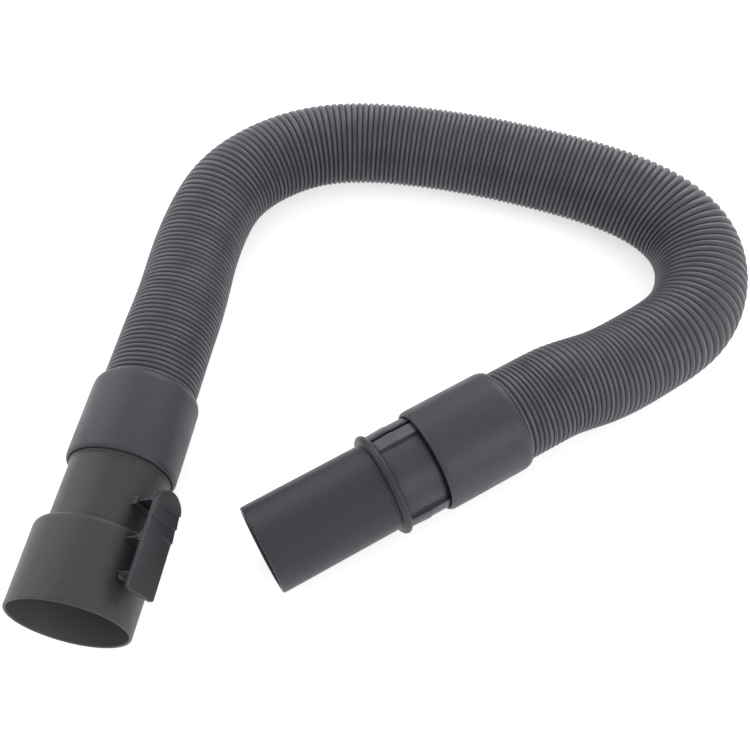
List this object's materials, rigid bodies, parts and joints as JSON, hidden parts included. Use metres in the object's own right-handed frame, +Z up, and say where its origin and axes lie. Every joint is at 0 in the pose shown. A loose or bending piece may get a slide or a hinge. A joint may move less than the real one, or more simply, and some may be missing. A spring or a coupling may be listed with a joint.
{
  "type": "vacuum hose",
  "caption": "Ribbed stretch hose for a vacuum cleaner, with a latched bell socket that swivels at one end and a wand spigot that swivels at the other.",
  "frame": {"origin": "on the floor, under the middle of the box round the two end fittings", "axes": "+Z up from the floor; -Y out of the machine socket's mouth, along its axis; +X from the machine fitting towards the wand fitting"},
  "size_m": [0.3036, 0.3215, 0.0538],
  "materials": {
    "hose_vinyl": "satin dark grey vinyl over a ribbed wall",
    "cuff_plastic": "fine matt moulded grain, dark grey",
    "tube_plastic": "fine matt moulded grain, dark grey",
    "latch_plastic": "matt moulded, darker grey",
    "white_plastic": "natural moulded nylon",
    "felt": "pressed felt"
  },
  "bodies": {
    "hose": {"hose_skin": "hose_vinyl", "machine_cuff": "cuff_plastic", "machine_ferrule": "white_plastic", "machine_seal": "felt", "wand_cuff": "cuff_plastic", "wand_ferrule": "white_plastic", "wand_seal": "felt"},
    "socket": {"machine_socket": "tube_plastic", "machine_snap_ring": "white_plastic", "latch_spring": "latch_plastic"},
    "latch": {"latch_lever": "latch_plastic"},
    "spigot": {"wand_spigot": "tube_plastic", "wand_snap_ring": "white_plastic"}
  },
  "joints": [
    {"name": "machine_swivel", "type": "hinge", "parent": "hose", "child": "socket", "pos_m": [-0.0761, 0, 0.0269], "axis": [0, 1, 0], "continuous": true},
    {"name": "wand_swivel", "type": "hinge", "parent": "hose", "child": "spigot", "pos_m": [0.06223, 0.03229, 0.02571], "axis": [0.7736, 0.631, 0.0582], "continuous": true},
    {"name": "latch_pivot", "type": "hinge", "parent": "socket", "child": "latch", "pos_m": [-0.04659, -0.039, 0.04534], "axis": [-0.5299, 0, 0.848], "range_deg": [0, 6], "stiffness_Nm_per_rad": 0.4, "springref_deg": -2.86, "deforming": ["latch_spring"]}
  ]
}
